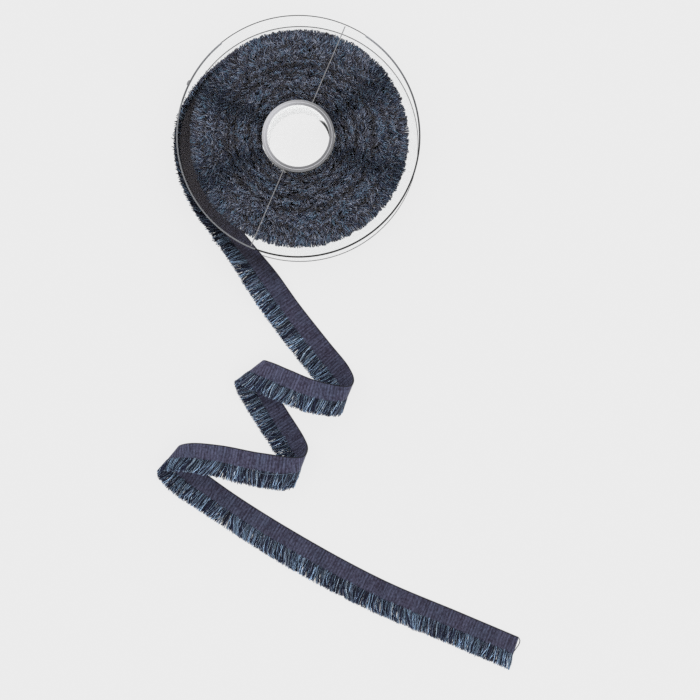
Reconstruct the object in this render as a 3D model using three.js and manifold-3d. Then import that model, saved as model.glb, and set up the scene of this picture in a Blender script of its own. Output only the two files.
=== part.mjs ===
// Cut-fringe trim wound on a clear reel that lies flat, with its loose end laid out in two flattened curls.
// Millimetres, +Z up, the table at Z = 0. Everything is placed about the reel's axis, with +Y away from the loose
// end, and the whole is moved at the end so that the origin is the middle of its footprint.

import * as THREE from 'three';
import { mergeVertices } from 'three/addons/utils/BufferGeometryUtils.js';
import Module from 'manifold-3d';

const wasm = await Module();
wasm.setup();

// Clearance between pieces that touch
const GAP = 0.3;

// Clear reel: two discs, each with a hub tube, one tube inside the other
const FLANGE_RADIUS = 89;
const FLANGE_THICKNESS = 1.2;
const RIM_CHAMFER = 0.3;
const REEL_HEIGHT = 28;
const BACK_TUBE = { inner: 24.9, outer: 26.5 };
const FRONT_TUBE = { inner: 22.7, outer: 24.5, lift: 0.5 };
const REEL_SIDES = 64;
const HAIRLINE_RIB = { angleDeg: 67, width: 0.6, height: 0.25, rimMargin: 1.5, overlap: 0.2 };

// Trim: a woven heading, and yarns that hang free from it to the full width
const TRIM_WIDTH = 25.4;
const HEADING_WIDTH = 13.6;
const ROOT_GAP = 0.45;
const ROOT_STRIP_WIDTH = 1.5;
const CLOTH_THICKNESS = 1.2;
const LAID = CLOTH_THICKNESS / 2;

// Wound roll: heading turns below, splayed fringe above, and a spiral of turns on its upper face
const ROLL = {
  innerRadius: BACK_TUBE.outer + GAP,
  bottom: FLANGE_THICKNESS + GAP,
  headingRadius: 71.5,
  headingTop: 15,
  shoulderRadius: 74,
  shoulderHeight: 20,
  crownRadius: 75.5,
  faceHeight: 23.4,
  turnRise: 1.6,
  turnPitch: 8,
  sides: 56,
  faceRings: 18,
};

// Locks round the roll's rim, where the loose end doesn't cover it
const RIM_LOCKS = {
  count: 60,
  fromDeg: -112,
  toDeg: 118,
  rootRadius: 71,
  rootHeight: 17.5,
  rootWidth: 3.8,
  rootDepth: 3,
  tipHeight: 24.6,
  tipHeightSpread: 1.2,
  tipWidth: 1.8,
  tipDepth: 1,
  tipSkew: 2.4,
  tipRadius: 79.6,
  towardsX: 0.9,
  towardsY: -2,
  tipRadiusSpread: 1.4,
};

// Loose end round the roll: the selvedge stays low on the roll while the fringe splays out
const WRAP_ROWS = [
  { at: 'wrap_start', angleDeg: 125, selvedgeRadius: 72.6, selvedgeZ: 2.2, tipRadius: 78.5, tipZ: 25.4 },
  { at: 'wrap_1', angleDeg: 136, selvedgeRadius: 72.7, selvedgeZ: 2.2, tipRadius: 79.5, tipZ: 25.4 },
  { at: 'wrap_2', angleDeg: 150, selvedgeRadius: 72.8, selvedgeZ: 2.2, tipRadius: 82, tipZ: 25 },
  { at: 'wrap_3', angleDeg: 170, selvedgeRadius: 73, selvedgeZ: 2.2, tipRadius: 88, tipZ: 22.5 },
  { at: 'wrap_4', angleDeg: 190, selvedgeRadius: 73.2, selvedgeZ: 2.4, tipRadius: 91.5, tipZ: 20 },
  { at: 'wrap_5', angleDeg: 210, selvedgeRadius: 73.6, selvedgeZ: 2.8, tipRadius: 93, tipZ: 18.5 },
];

// Loose end off the reel: a section at each turn of its two edges, selvedge then fringe tips
const LAID_ROWS = [
  { at: 'leave', selvedge: [-43.5, -65.5, 3.6], tip: [-63, -73.5, 17] },
  { at: 'over_rim', selvedge: [-31, -83, 4], tip: [-51, -90.5, 14] },
  { at: 'down', selvedge: [-18.5, -98.5, 3], tip: [-38.5, -111, 8.5] },
  { at: 'run_1', selvedge: [-1, -121.5, 1.2], tip: [-21, -136.5, 2.5] },
  { at: 'run_1_end', selvedge: [21.5, -148.5, LAID], tip: [1, -165, LAID] },
  { at: 'fold_1_in', selvedge: [37, -168, 2.6], tip: [19, -187, 2] },
  { at: 'fold_1', selvedge: [40.5, -177.5, 10], tip: [30.5, -202, 10] },
  { at: 'fold_1_out', selvedge: [36.5, -182, 18], tip: [24.5, -204, 18] },
  { at: 'run_2', selvedge: [13, -178, 20], tip: [5, -201, 18.5] },
  { at: 'run_2_end', selvedge: [-6, -170.5, 18], tip: [-16, -193, 15.5] },
  { at: 'fold_2_in', selvedge: [-20.5, -164.5, 13.5], tip: [-38, -183.5, 11.5] },
  { at: 'fold_2', selvedge: [-26.5, -163.5, 7.5], tip: [-47.5, -179.5, 6] },
  { at: 'fold_2_out', selvedge: [-23.5, -174.5, 1.2], tip: [-46, -187, 1] },
  { at: 'run_3', selvedge: [-12, -195.5, LAID], tip: [-34, -207.5, LAID] },
  { at: 'fold_3_in', selvedge: [4, -221, 2.6], tip: [-14.5, -237.5, 2] },
  { at: 'fold_3', selvedge: [6.5, -228, 9.5], tip: [-3.5, -255, 8.5] },
  { at: 'fold_3_out', selvedge: [3, -233.5, 16.5], tip: [-10, -258, 16] },
  { at: 'run_4', selvedge: [-26.5, -231, 18.5], tip: [-34.5, -255, 17] },
  { at: 'run_4_end', selvedge: [-56.5, -225.5, 17.5], tip: [-66.5, -247.5, 15.5] },
  { at: 'fold_4_in', selvedge: [-80, -224, 14.5], tip: [-92.5, -244.5, 13] },
  { at: 'fold_4', selvedge: [-88.5, -227, 8.5], tip: [-104.5, -246, 7.5] },
  { at: 'fold_4_out', selvedge: [-82, -236.5, 1.2], tip: [-100, -256, 1] },
  { at: 'run_5', selvedge: [-54.5, -258, LAID], tip: [-69, -278, LAID] },
  { at: 'run_5_second', selvedge: [0.5, -292.5, LAID], tip: [-11.5, -314.5, LAID] },
  { at: 'run_5_third', selvedge: [62, -325.5, LAID], tip: [52, -348, LAID] },
  { at: 'run_5_fourth', selvedge: [119, -349.5, LAID], tip: [110.5, -372.5, LAID] },
  { at: 'cut_end', selvedge: [163, -368, LAID], tip: [155, -391.5, LAID] },
];
const HEADING_STEPS_PER_ROW = 6;

// Fringe of the loose end: one comb of locks for each straight run, and one for each half of a fold
const FRINGE_RUNS = [
  { name: 'tail_fringe_wrap_1', from: 'wrap_start', to: 'wrap_3' },
  { name: 'tail_fringe_wrap_2', from: 'wrap_3', to: 'wrap_5' },
  { name: 'tail_fringe_wrap_3', from: 'wrap_5', to: 'over_rim' },
  { name: 'tail_fringe_run_1', from: 'over_rim', to: 'fold_1_in' },
  { name: 'tail_fringe_fold_1_in', from: 'fold_1_in', to: 'fold_1' },
  { name: 'tail_fringe_fold_1_out', from: 'fold_1', to: 'fold_1_out' },
  { name: 'tail_fringe_run_2', from: 'fold_1_out', to: 'fold_2_in' },
  { name: 'tail_fringe_fold_2_in', from: 'fold_2_in', to: 'fold_2' },
  { name: 'tail_fringe_fold_2_out', from: 'fold_2', to: 'fold_2_out' },
  { name: 'tail_fringe_run_3', from: 'fold_2_out', to: 'fold_3_in' },
  { name: 'tail_fringe_fold_3_in', from: 'fold_3_in', to: 'fold_3' },
  { name: 'tail_fringe_fold_3_out', from: 'fold_3', to: 'fold_3_out' },
  { name: 'tail_fringe_run_4', from: 'fold_3_out', to: 'fold_4_in' },
  { name: 'tail_fringe_fold_4_in', from: 'fold_4_in', to: 'fold_4' },
  { name: 'tail_fringe_fold_4_out', from: 'fold_4', to: 'fold_4_out' },
  { name: 'tail_fringe_run_5', from: 'fold_4_out', to: 'run_5_second' },
  { name: 'tail_fringe_run_5_end', from: 'run_5_second', to: 'cut_end' },
];
const COMB = { pitch: 4.3, lockWidth: 2.7, tipWidth: 1.7, tipSkew: 1.2, shortest: 0.93 };

const UP = new THREE.Vector3(0, 0, 1);

// A repeatable number from 0 to 1 for each index, with a separate series for each salt
function scatter(index, salt) {
  const wave = Math.sin(index * 12.9898 + salt * 78.233) * 43758.5453;
  return wave - Math.floor(wave);
}

function spread(index, salt, reach) {
  return (2 * scatter(index, salt) - 1) * reach;
}

function polar(radius, angle, z) {
  return new THREE.Vector3(radius * Math.cos(angle), radius * Math.sin(angle), z);
}

function signedVolume(points, triangles) {
  let six = 0;
  for (const [a, b, c] of triangles) {
    six += points[a].dot(new THREE.Vector3().crossVectors(points[b], points[c]));
  }
  return six / 6;
}

// A closed body from points and four-sided faces, with its faces turned outwards
function bodyFromFaces(points, faces) {
  const triangles = faces.flatMap(([a, b, c, d]) => [[a, b, c], [a, c, d]]);
  const inward = signedVolume(points, triangles) < 0;
  const geometry = new THREE.BufferGeometry();
  geometry.setFromPoints(points);
  geometry.setIndex(triangles.flatMap(([a, b, c]) => (inward ? [a, c, b] : [a, b, c])));
  geometry.computeVertexNormals();
  return geometry;
}

function toManifold(geometry) {
  const bare = geometry.clone();
  bare.deleteAttribute('normal');
  bare.deleteAttribute('uv');
  const merged = mergeVertices(bare, 1e-4);
  return new wasm.Manifold(new wasm.Mesh({
    numProp: 3,
    vertProperties: new Float32Array(merged.attributes.position.array),
    triVerts: new Uint32Array(merged.index.array),
  }));
}

function fromManifold(solid) {
  const mesh = solid.getMesh();
  const geometry = new THREE.BufferGeometry();
  geometry.setAttribute('position', new THREE.BufferAttribute(new Float32Array(mesh.vertProperties), 3));
  geometry.setIndex(new THREE.BufferAttribute(new Uint32Array(mesh.triVerts), 1));
  geometry.computeVertexNormals();
  return geometry;
}

function joined(first, others) {
  return fromManifold(others.reduce((sum, each) => sum.add(toManifold(each)), toManifold(first)));
}

// A ring turned from a closed outline of [radius, height] pairs about +Z
function turned(outline, sides) {
  const closed = [...outline, outline[0]].map(([radius, height]) => new THREE.Vector2(radius, height));
  const geometry = new THREE.LatheGeometry(closed, sides);
  geometry.rotateX(Math.PI / 2);
  return geometry;
}

function discEdge(bottom) {
  const top = bottom + FLANGE_THICKNESS;
  return [
    [FLANGE_RADIUS - RIM_CHAMFER, bottom],
    [FLANGE_RADIUS, bottom + RIM_CHAMFER],
    [FLANGE_RADIUS, top - RIM_CHAMFER],
    [FLANGE_RADIUS - RIM_CHAMFER, top],
  ];
}

function reelBack() {
  const tubeTop = REEL_HEIGHT - FLANGE_THICKNESS - GAP;
  return turned([
    [BACK_TUBE.inner, 0],
    ...discEdge(0),
    [BACK_TUBE.outer, FLANGE_THICKNESS],
    [BACK_TUBE.outer, tubeTop],
    [BACK_TUBE.inner, tubeTop],
  ], REEL_SIDES);
}

function reelFront() {
  const underside = REEL_HEIGHT - FLANGE_THICKNESS;
  const half = turned([
    [FRONT_TUBE.inner, FRONT_TUBE.lift],
    [FRONT_TUBE.outer, FRONT_TUBE.lift],
    [FRONT_TUBE.outer, underside],
    ...discEdge(underside),
    [FRONT_TUBE.inner, REEL_HEIGHT],
  ], REEL_SIDES);
  return joined(half, [0, 180].map((turnDeg) => hairlineRib(turnDeg)));
}

// Half of the fine moulded line across the front disc, from the hub to near the rim
function hairlineRib(turnDeg) {
  const inner = FRONT_TUBE.outer;
  const length = FLANGE_RADIUS - HAIRLINE_RIB.rimMargin - inner;
  const tall = HAIRLINE_RIB.height + HAIRLINE_RIB.overlap;
  const rib = new THREE.BoxGeometry(length, HAIRLINE_RIB.width, tall);
  rib.translate(inner + length / 2, 0, REEL_HEIGHT + HAIRLINE_RIB.height - tall / 2);
  rib.rotateZ(THREE.MathUtils.degToRad(HAIRLINE_RIB.angleDeg + turnDeg));
  return rib;
}

// Height of the roll's upper face: a spiral of soft turns
function turnHeight(radius, angle) {
  const turns = (radius - ROLL.innerRadius) / ROLL.turnPitch - angle / (2 * Math.PI);
  const phase = turns - Math.floor(turns);
  return ROLL.faceHeight + ROLL.turnRise * (1 - Math.abs(2 * phase - 1));
}

function rollSection(angle) {
  const section = [
    polar(ROLL.innerRadius, angle, ROLL.bottom),
    polar(ROLL.headingRadius, angle, ROLL.bottom),
    polar(ROLL.headingRadius, angle, ROLL.headingTop),
    polar(ROLL.shoulderRadius, angle, ROLL.shoulderHeight),
  ];
  for (let ring = ROLL.faceRings; ring >= 0; ring -= 1) {
    const radius = THREE.MathUtils.lerp(ROLL.innerRadius, ROLL.crownRadius, ring / ROLL.faceRings);
    section.push(polar(radius, angle, turnHeight(radius, angle)));
  }
  return section;
}

function rollBody() {
  const points = [];
  const faces = [];
  const count = rollSection(0).length;
  for (let side = 0; side < ROLL.sides; side += 1) {
    points.push(...rollSection((2 * Math.PI * side) / ROLL.sides));
    const here = side * count;
    const next = ((side + 1) % ROLL.sides) * count;
    for (let i = 0; i < count; i += 1) {
      const j = (i + 1) % count;
      faces.push([here + i, next + i, next + j, here + j]);
    }
  }
  return bodyFromFaces(points, faces);
}

// A tapering lock of four sides from a root to a tip, with its width along a given direction
function lock(root, tip, widthwise, rootSize, tipSize) {
  const depthwise = new THREE.Vector3().subVectors(tip, root).cross(widthwise).normalize();
  const corners = [[-1, -1], [1, -1], [1, 1], [-1, 1]];
  const ring = (centre, size) => corners.map(([w, d]) => centre.clone()
    .addScaledVector(widthwise, (w * size.width) / 2)
    .addScaledVector(depthwise, (d * size.depth) / 2));
  const points = [...ring(root, rootSize), ...ring(tip, tipSize)];
  const sides = [0, 1, 2, 3].map((i) => [i, (i + 1) % 4, 4 + ((i + 1) % 4), 4 + i]);
  return bodyFromFaces(points, [[3, 2, 1, 0], [4, 5, 6, 7], ...sides]);
}

function rimLock(index) {
  const share = index / (RIM_LOCKS.count - 1);
  const angle = THREE.MathUtils.degToRad(THREE.MathUtils.lerp(RIM_LOCKS.fromDeg, RIM_LOCKS.toDeg, share));
  const tipRadius = RIM_LOCKS.tipRadius + RIM_LOCKS.towardsX * Math.cos(angle)
    + RIM_LOCKS.towardsY * Math.sin(angle) + spread(index, 1, RIM_LOCKS.tipRadiusSpread);
  const tipHeight = RIM_LOCKS.tipHeight + spread(index, 2, RIM_LOCKS.tipHeightSpread);
  const tangent = new THREE.Vector3().crossVectors(UP, polar(1, angle, 0));
  const root = polar(RIM_LOCKS.rootRadius, angle, RIM_LOCKS.rootHeight);
  const tip = polar(tipRadius, angle, tipHeight).addScaledVector(tangent, spread(index, 3, RIM_LOCKS.tipSkew));
  return lock(
    root,
    tip,
    tangent,
    { width: RIM_LOCKS.rootWidth, depth: RIM_LOCKS.rootDepth },
    { width: RIM_LOCKS.tipWidth, depth: RIM_LOCKS.tipDepth },
  );
}

function roll() {
  const locks = Array.from({ length: RIM_LOCKS.count }, (_, index) => rimLock(index));
  return joined(rollBody(), locks);
}

// The loose end as a ruled strip: two edge curves through the rows of the tables
const tailRows = [
  ...WRAP_ROWS.map((row) => {
    const angle = THREE.MathUtils.degToRad(row.angleDeg);
    return {
      at: row.at,
      selvedge: polar(row.selvedgeRadius, angle, row.selvedgeZ),
      tip: polar(row.tipRadius, angle, row.tipZ),
    };
  }),
  ...LAID_ROWS.map((row) => ({
    at: row.at,
    selvedge: new THREE.Vector3(...row.selvedge),
    tip: new THREE.Vector3(...row.tip),
  })),
];
const selvedgeCurve = new THREE.CatmullRomCurve3(tailRows.map((row) => row.selvedge), false, 'centripetal');
const tipCurve = new THREE.CatmullRomCurve3(tailRows.map((row) => row.tip), false, 'centripetal');

// Where a named row lies along the curves, from 0 to 1
function placeOf(name) {
  return tailRows.findIndex((row) => row.at === name) / (tailRows.length - 1);
}

function onTable(point) {
  point.z = Math.max(point.z, LAID);
  return point;
}

// A point of the strip's middle layer: place runs along it, across goes from selvedge 0 to fringe tips 1
function stripPoint(place, across) {
  const selvedge = onTable(selvedgeCurve.getPoint(place));
  return selvedge.lerp(onTable(tipCurve.getPoint(place)), across);
}

function stripNormal(place, across) {
  const step = 1e-4;
  const ahead = stripPoint(Math.min(place + step, 1), across);
  const along = ahead.sub(stripPoint(Math.max(place - step, 0), across));
  const widthwise = stripPoint(place, 1).sub(stripPoint(place, 0));
  return widthwise.cross(along).normalize();
}

// The two faces of the strip at a point of its middle layer
function stripFaces(place, across) {
  const normal = stripNormal(place, across);
  const middle = stripPoint(place, across);
  return [1, -1].map((side) => middle.clone().addScaledVector(normal, (side * CLOTH_THICKNESS) / 2));
}

function tailHeading() {
  const edge = HEADING_WIDTH / TRIM_WIDTH;
  const steps = (tailRows.length - 1) * HEADING_STEPS_PER_ROW;
  const points = [];
  const faces = [[0, 1, 2, 3]];
  for (let i = 0; i <= steps; i += 1) {
    const [upperSelvedge, lowerSelvedge] = stripFaces(i / steps, 0);
    const [upperEdge, lowerEdge] = stripFaces(i / steps, edge);
    points.push(upperSelvedge, lowerSelvedge, lowerEdge, upperEdge);
    const here = 4 * i;
    if (i < steps) {
      for (let k = 0; k < 4; k += 1) {
        const j = (k + 1) % 4;
        faces.push([here + k, here + 4 + k, here + 4 + j, here + j]);
      }
    } else {
      faces.push([here + 3, here + 2, here + 1, here]);
    }
  }
  return bodyFromFaces(points, faces);
}

// Length along the fringe roots, so that locks can be set out evenly
const ROOT_START = (HEADING_WIDTH + ROOT_GAP) / TRIM_WIDTH;
const ROOT_END = ROOT_START + ROOT_STRIP_WIDTH / TRIM_WIDTH;
const LENGTH_STEPS = 1200;
const rootLengths = [0];
for (let i = 1; i <= LENGTH_STEPS; i += 1) {
  const here = stripPoint(i / LENGTH_STEPS, ROOT_END);
  rootLengths.push(rootLengths[i - 1] + here.distanceTo(stripPoint((i - 1) / LENGTH_STEPS, ROOT_END)));
}

function lengthAt(place) {
  const index = Math.min(Math.floor(place * LENGTH_STEPS), LENGTH_STEPS - 1);
  return THREE.MathUtils.lerp(rootLengths[index], rootLengths[index + 1], place * LENGTH_STEPS - index);
}

function placeAt(length) {
  const found = rootLengths.findIndex((each) => each >= length);
  if (found < 1) {
    return found < 0 ? 1 : 0;
  }
  const share = (length - rootLengths[found - 1]) / (rootLengths[found] - rootLengths[found - 1]);
  return (found - 1 + share) / LENGTH_STEPS;
}

// One run of fringe: a root strip with locks along its outer edge, as one closed body
function fringeComb(run) {
  const start = lengthAt(placeOf(run.from)) + GAP;
  const end = lengthAt(placeOf(run.to)) - GAP;
  const count = Math.floor((end - start) / COMB.pitch);
  const pitch = (end - start) / count;
  const points = [];
  const faces = [];
  const addStation = (length) => {
    const place = placeAt(length);
    points.push(...stripFaces(place, ROOT_START), ...stripFaces(place, ROOT_END));
    return points.length - 4;
  };
  const addTip = (length, across) => {
    points.push(...stripFaces(placeAt(length), across));
    return points.length - 2;
  };
  // A station holds four points: root upper, root lower, outer upper, outer lower
  const bridge = (a, b) => {
    faces.push([a, b, b + 2, a + 2], [a + 1, a + 3, b + 3, b + 1], [a, a + 1, b + 1, b]);
  };
  const closeOuter = (a, b) => faces.push([a + 2, b + 2, b + 3, a + 3]);
  let last = addStation(start);
  faces.push([last, last + 2, last + 3, last + 1]);
  for (let i = 0; i < count; i += 1) {
    const middle = start + (i + 0.5) * pitch;
    const left = addStation(middle - COMB.lockWidth / 2);
    const right = addStation(middle + COMB.lockWidth / 2);
    const tipMiddle = THREE.MathUtils.clamp(
      middle + spread(i, 4, COMB.tipSkew),
      start + COMB.lockWidth / 2,
      end - COMB.lockWidth / 2,
    );
    const across = THREE.MathUtils.lerp(COMB.shortest, 1, scatter(i, 5));
    const tipLeft = addTip(tipMiddle - COMB.tipWidth / 2, across);
    const tipRight = addTip(tipMiddle + COMB.tipWidth / 2, across);
    bridge(last, left);
    closeOuter(last, left);
    bridge(left, right);
    faces.push(
      [left + 2, right + 2, tipRight, tipLeft],
      [left + 3, tipLeft + 1, tipRight + 1, right + 3],
      [left + 2, tipLeft, tipLeft + 1, left + 3],
      [right + 2, right + 3, tipRight + 1, tipRight],
      [tipLeft, tipRight, tipRight + 1, tipLeft + 1],
    );
    last = right;
  }
  const final = addStation(end);
  bridge(last, final);
  closeOuter(last, final);
  faces.push([final, final + 1, final + 3, final + 2]);
  return bodyFromFaces(points, faces);
}

function clearPlastic() {
  return new THREE.MeshStandardMaterial({
    color: 0xeef1f2,
    roughness: 0.08,
    metalness: 0,
    transparent: true,
    opacity: 0.3,
  });
}

function cloth(color, roughness) {
  return new THREE.MeshStandardMaterial({ color, roughness, metalness: 0 });
}

function named(name, geometry, material) {
  const mesh = new THREE.Mesh(geometry, material);
  mesh.name = name;
  return mesh;
}

const trim = new THREE.Group();
trim.add(named('reel_back', reelBack(), clearPlastic()));
trim.add(named('reel_front', reelFront(), clearPlastic()));
trim.add(named('roll', roll(), cloth(0x2a2d38, 0.95)));
trim.add(named('tail_heading', tailHeading(), cloth(0x403f53, 0.85)));
for (const run of FRINGE_RUNS) {
  trim.add(named(run.name, fringeComb(run), cloth(0x32435d, 0.9)));
}

// Origin at the middle of the footprint, on the table
const footprint = new THREE.Box3().setFromObject(trim).getCenter(new THREE.Vector3());
trim.position.set(-footprint.x, -footprint.y, 0);

const part = new THREE.Group();
part.add(trim);

export default part;
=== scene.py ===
"""Navy cut-fringe trim wound on a clear reel that lies flat, its loose end laid out in two flat curls."""

import math
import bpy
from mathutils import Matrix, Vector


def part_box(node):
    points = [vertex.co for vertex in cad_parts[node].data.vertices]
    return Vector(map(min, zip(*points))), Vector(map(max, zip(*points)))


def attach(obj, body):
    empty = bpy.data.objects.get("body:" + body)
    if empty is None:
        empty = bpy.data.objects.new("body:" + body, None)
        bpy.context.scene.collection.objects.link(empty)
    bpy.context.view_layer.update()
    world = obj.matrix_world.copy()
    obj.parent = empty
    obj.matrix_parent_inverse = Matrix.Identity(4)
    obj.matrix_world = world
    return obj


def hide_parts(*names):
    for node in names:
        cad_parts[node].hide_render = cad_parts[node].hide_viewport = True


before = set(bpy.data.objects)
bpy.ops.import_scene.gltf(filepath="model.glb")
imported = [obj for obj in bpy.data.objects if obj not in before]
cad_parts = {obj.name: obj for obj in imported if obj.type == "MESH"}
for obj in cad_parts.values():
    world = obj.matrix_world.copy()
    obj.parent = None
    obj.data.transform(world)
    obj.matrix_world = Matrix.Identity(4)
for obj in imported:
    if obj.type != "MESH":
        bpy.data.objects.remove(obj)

from types import SimpleNamespace

import bpy
import numpy as np
from bpy.props import FloatProperty, FloatVectorProperty, IntProperty, PointerProperty

bl_info = {
    "name": "Fringe Trim on a Clear Reel",
    "version": (1, 0, 0),
    "blender": (4, 5, 0),
    "location": "View3D > Sidebar > Fringe Trim",
    "description": "Builds a reel of cut-fringe trim with its loose end laid out on a table",
    "category": "Object",
}

MM = 0.001
FULL_TURN = 2 * math.pi
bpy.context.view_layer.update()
BACK_LOW, BACK_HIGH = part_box("reel_back")
AXIS = np.array([(BACK_LOW.x + BACK_HIGH.x) / 2, (BACK_LOW.y + BACK_HIGH.y) / 2, 0.0])

# Loose end round the roll: angle in degrees, then radius and height in mm of its selvedge and fringe tips
WRAP_ROWS = [
    ("wrap_start", 125, (72.6, 2.2), (78.5, 25.4)),
    ("wrap_1", 136, (72.7, 2.2), (79.5, 25.4)),
    ("wrap_2", 150, (74.0, 2.2), (83.6, 24.8)),
    ("wrap_3", 170, (76.4, 2.4), (90.4, 20.6)),
    ("wrap_4", 190, (77.2, 2.6), (92.3, 19.0)),
    ("wrap_5", 210, (77.0, 2.8), (93.2, 18.0)),
]

# Loose end off the reel: its selvedge and fringe tips at each row, in mm about the reel's axis
LAID_ROWS = [
    ("leave", (-43.5, -65.5, 3.6), (-63.0, -73.5, 17.0)),
    ("over_rim", (-29.7, -82.2, 4.0), (-51.0, -90.5, 14.0)),
    ("down", (-17.0, -97.5, 3.0), (-38.5, -111.0, 8.5)),
    ("run_1", (-0.2, -120.9, 1.2), (-21.0, -136.5, 2.5)),
    ("run_1_end", (21.5, -148.5, 0.6), (1.0, -165.0, 0.6)),
    ("fold_1_in", (37.0, -168.0, 2.6), (19.0, -187.0, 2.0)),
    ("fold_1", (40.5, -177.5, 10.0), (30.5, -202.0, 10.0)),
    ("fold_1_out", (36.5, -182.0, 18.0), (24.5, -204.0, 18.0)),
    ("run_2", (13.0, -178.0, 20.0), (5.0, -201.0, 18.5)),
    ("run_2_end", (-6.0, -170.5, 18.0), (-16.0, -193.0, 15.5)),
    ("fold_2_in", (-20.5, -164.5, 13.5), (-38.0, -183.5, 11.5)),
    ("fold_2", (-26.5, -163.5, 7.5), (-47.5, -179.5, 6.0)),
    ("fold_2_out", (-23.5, -174.5, 1.2), (-46.0, -187.0, 1.0)),
    ("run_3", (-12.0, -195.5, 0.6), (-34.0, -207.5, 0.6)),
    ("fold_3_in", (4.0, -221.0, 2.6), (-14.5, -237.5, 2.0)),
    ("fold_3", (6.5, -228.0, 9.5), (-3.5, -255.0, 8.5)),
    ("fold_3_out", (3.0, -233.5, 16.5), (-10.0, -258.0, 16.0)),
    ("run_4", (-26.5, -231.0, 18.5), (-34.5, -255.0, 17.0)),
    ("run_4_end", (-56.5, -225.5, 17.5), (-66.5, -247.5, 15.5)),
    ("fold_4_in", (-80.0, -224.0, 14.5), (-92.5, -244.5, 13.0)),
    ("fold_4", (-88.5, -227.0, 8.5), (-104.5, -246.0, 7.5)),
    ("fold_4_out", (-82.0, -236.5, 1.2), (-100.0, -256.0, 1.0)),
    ("run_5", (-54.5, -258.0, 0.6), (-69.0, -278.0, 0.6)),
    ("run_5_second", (0.5, -292.5, 0.6), (-11.5, -314.5, 0.6)),
    ("run_5_third", (62.0, -325.5, 0.6), (52.0, -348.0, 0.6)),
    ("run_5_fourth", (119.0, -349.5, 0.6), (110.5, -372.5, 0.6)),
    ("cut_end", (163.0, -368.0, 0.6), (155.0, -391.5, 0.6)),
]
ROW_NAMES = [row[0] for row in WRAP_ROWS + LAID_ROWS]
ROW_STEPS = 48
RIB_STEPS = 4
YARN_RINGS = 8
YARN_SIDES = 3

# How far the fringe roots sag outwards from the straight line between selvedge and tips, in millimetres
ROOT_SAGS = {"wrap_1": 0.8, "wrap_2": 3.0, "wrap_3": 6.8, "wrap_4": 7.0, "wrap_5": 6.0, "leave": 2.4}

# How far the fringe tips lean along the trim, in millimetres, towards the cut end if above 0
TIP_LEANS = {
    "run_4": -3.0,
    "fold_4_in": 2.0,
    "run_5": 1.5,
    "run_5_second": 3.5,
    "run_5_third": 3.5,
    "run_5_fourth": 2.5,
}

# Fringe of the loose end: the rows each piece runs between, its upper face, and the solids it stands for
LOOSE_FRINGE = [
    ("loose_fringe_wrap", "wrap_start", "over_rim", 1, ("wrap_1", "wrap_2", "wrap_3")),
    ("loose_fringe_run_1", "over_rim", "fold_1", 1, ("run_1", "fold_1_in")),
    ("loose_fringe_run_2", "fold_1", "fold_2", -1, ("fold_1_out", "run_2", "fold_2_in")),
    ("loose_fringe_run_3", "fold_2", "fold_3", 1, ("fold_2_out", "run_3", "fold_3_in")),
    ("loose_fringe_run_4", "fold_3", "fold_4", -1, ("fold_3_out", "run_4", "fold_4_in")),
    ("loose_fringe_run_5", "fold_4", "cut_end", 1, ("fold_4_out", "run_5", "run_5_end")),
]

# Loosened threads: the piece each belongs to, its tint, and its course in mm about the reel's axis
LOOSE_THREADS = [
    ("loose_fringe_run_5", "selvedge", [
        (162.7, -368.4, 0.8),
        (163.4, -370.8, 1.0),
        (162.3, -373.6, 1.1),
        (160.3, -376.4, 1.0),
        (157.8, -379.9, 0.9),
    ]),
    ("loose_fringe_run_5", "pale", [(156.9, -382.2, 0.9), (156.0, -386.2, 1.1), (155.2, -391.6, 0.7)]),
    ("loose_fringe_run_5", "deep_navy", [(157.0, -380.8, 0.8), (156.7, -384.4, 1.0), (156.8, -387.8, 0.7)]),
    ("loose_fringe_run_4", "navy", [(-2.0, -240.2, 13.5), (-0.2, -244.6, 13.0), (0.1, -249.2, 11.5)]),
    ("loose_fringe_run_4", "mist", [
        (-32.3, -242.6, 18.9),
        (-27.9, -245.6, 18.9),
        (-19.2, -246.6, 18.8),
        (-10.4, -246.7, 18.6),
        (-3.9, -245.6, 18.2),
    ]),
]

# Soft shadow of the discs on the trim beside them: its strength, and the radii where it comes and goes
SHADOW_STRENGTH = 0.5
SHADOW_COMES = (87 * MM, 91 * MM)
SHADOW_GOES = (93 * MM, 113 * MM)

# Places of the materials of the front half. The back half has the first three, with a rim of its own
CLEAR, RIM, TUBE, BORE, LIT_RIM, THIN_RIM, SEAM = range(7)

# Greys of the clear plastic seen along its depth, with painted reflection, light and shade: first and last
# tone, and how clear the rims stay
GREY_TONES = {
    "clear_back_rim": (0.6, 0.6),
    # The front rim is painted darker on the near side and lighter on the far side; the lit rim is a painted
    # reflection where it crosses the trim
    "clear_front_rim": (0.15, 19.0),
    "clear_lit_rim": (8.0, 8.0),
    "clear_line": (1.0, 1.0),
    # The tube is painted lighter on one side as if lit from there, and the seam painted lighter as a
    # highlight
    "clear_tube": (2.0, 0.74),
    "clear_seam": (2.2, 2.0),
    # The bore's wall carries a painted shade, low on one side
    "clear_bore": (1.0, 0.06),
}
RIM_CLEARNESS = 0.1

# Where the front rim crosses the trim, and where light thins it, in degrees round the reel
LIT_DEGREES = (164, 250)
THIN_DEGREES = (56, 130)

# Reel details: steps round it, flat strips beside rounded edges, widths of grey rims, gap at the line's end
CIRCLE_STEPS = 192
FLAT_MARGIN = 1.0 * MM
BACK_RIM_WIDTH = 0.5 * MM
FRONT_RIM_WIDTH = 1.1 * MM
THIN_RIM_WIDTH = 0.5 * MM
LINE_END_GAP = 1.5 * MM

# Nib that the mould leaves on the front rim: its angle, how far out its middle lies, and half its sizes
NIB_ANGLE = math.radians(154)
NIB_OUT = 0.2 * MM
NIB_DEEP = 1.1 * MM
NIB_LONG = 2.2 * MM

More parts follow.
